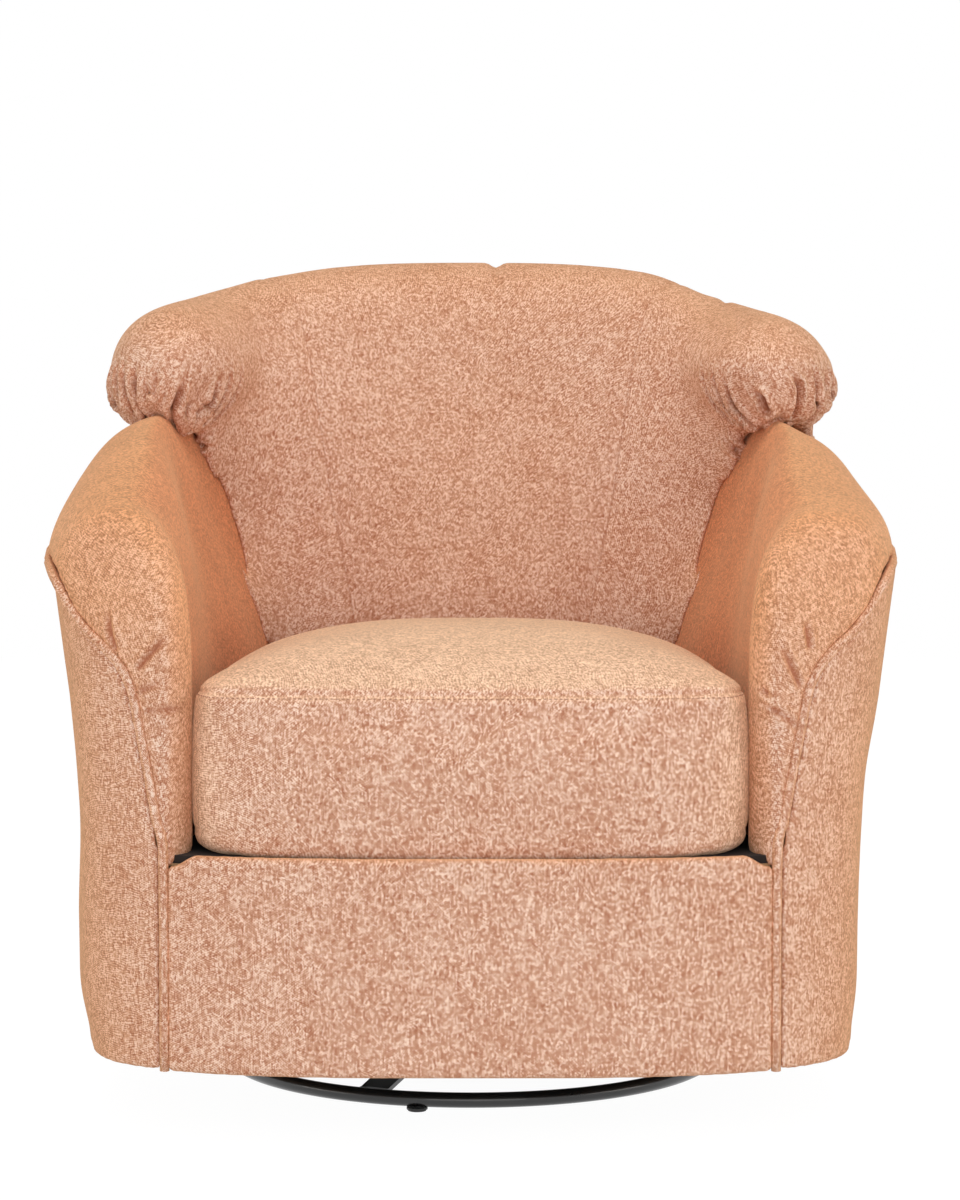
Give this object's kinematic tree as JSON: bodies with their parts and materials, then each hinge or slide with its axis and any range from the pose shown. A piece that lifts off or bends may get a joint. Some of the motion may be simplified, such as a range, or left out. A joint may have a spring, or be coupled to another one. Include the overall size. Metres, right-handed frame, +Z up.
{
  "type": "swivel glider chair",
  "caption": "Upholstered tub armchair on a swivel and glide mechanism, with a rolled, gathered back, padded flared arms, a loose seat cushion and a floor ring.",
  "frame": {"origin": "on the floor, on the swivel axis, under the middle of the chair", "axes": "+Z up; the chair faces -Y; +X is to the right seen from the front"},
  "size_m": [0.888, 0.9143, 0.912],
  "materials": {
    "upholstery_fabric": "heathered weave of rust and cream yarns",
    "decking_cloth": "plain black lining",
    "frame_wood": "sawn, unfinished",
    "black_steel": "satin black",
    "zinc_steel": "zinc plated",
    "black_rubber": "matt",
    "glide_nylon": "moulded"
  },
  "bodies": {
    "base": {"base_ring": "black_steel", "hub_plate": "black_steel", "base_arm_1": "black_steel", "base_arm_2": "black_steel", "base_arm_3": "black_steel", "base_arm_4": "black_steel", "floor_glide_1": "glide_nylon", "floor_glide_2": "glide_nylon", "floor_glide_3": "glide_nylon", "floor_glide_4": "glide_nylon", "lower_race": "zinc_steel", "ball_retainer": "zinc_steel", "pivot_rivet": "zinc_steel"},
    "turntable": {"upper_race": "zinc_steel", "turntable_plate": "black_steel", "cross_member_front": "black_steel", "cross_member_rear": "black_steel", "stop_bar_front": "black_rubber", "stop_bar_rear": "black_rubber", "side_plate_left": "black_steel", "side_plate_right": "black_steel", "upper_pin_front_left": "zinc_steel", "upper_pin_front_right": "zinc_steel", "upper_pin_rear_left": "zinc_steel", "upper_pin_rear_right": "zinc_steel"},
    "front_links": {"swing_link_front_left": "zinc_steel", "swing_link_front_right": "zinc_steel"},
    "rear_links": {"swing_link_rear_left": "zinc_steel", "swing_link_rear_right": "zinc_steel"},
    "seat": {"hanger_rail_left": "black_steel", "hanger_rail_right": "black_steel", "lower_pin_front_left": "zinc_steel", "lower_pin_front_right": "zinc_steel", "lower_pin_rear_left": "zinc_steel", "lower_pin_rear_right": "zinc_steel", "seat_rail_front": "frame_wood", "seat_rail_back": "frame_wood", "seat_rail_left": "frame_wood", "seat_rail_right": "frame_wood", "mounting_slat_front": "frame_wood", "mounting_slat_rear": "frame_wood", "arm_panel_left": "frame_wood", "arm_panel_right": "frame_wood", "back_post_left": "frame_wood", "back_post_right": "frame_wood", "back_top_rail": "frame_wood", "seat_springs": "zinc_steel", "deck_pad": "decking_cloth", "front_rail_cover": "upholstery_fabric", "outside_back": "upholstery_fabric", "outside_arm_left": "upholstery_fabric", "outside_arm_right": "upholstery_fabric", "arm_pad_left": "upholstery_fabric", "arm_pad_right": "upholstery_fabric", "arm_welt_left": "upholstery_fabric", "arm_welt_right": "upholstery_fabric", "inside_back_centre": "upholstery_fabric", "inside_back_left": "upholstery_fabric", "inside_back_right": "upholstery_fabric", "seat_cushion": "upholstery_fabric"}
  },
  "joints": [
    {"name": "swivel", "type": "hinge", "parent": "base", "child": "turntable", "pos_m": [0, 0, 0.0668], "axis": [0, 0, 1], "continuous": true},
    {"name": "front_glide", "type": "hinge", "parent": "turntable", "child": "front_links", "pos_m": [0, -0.12, 0.212], "axis": [1, 0, 0], "range_deg": [-20, 20]},
    {"name": "rear_glide", "type": "hinge", "parent": "turntable", "child": "rear_links", "pos_m": [0, 0.12, 0.212], "axis": [1, 0, 0], "range_deg": [-20, 20]},
    {"name": "seat_level", "type": "hinge", "parent": "front_links", "child": "seat", "pos_m": [0, -0.12, 0.102], "axis": [1, 0, 0], "range_deg": [-20, 20]}
  ],
  "couplings": [
    {"joint": "rear_glide", "follows": "front_glide", "ratio": 1},
    {"joint": "seat_level", "follows": "front_glide", "ratio": -1}
  ]
}
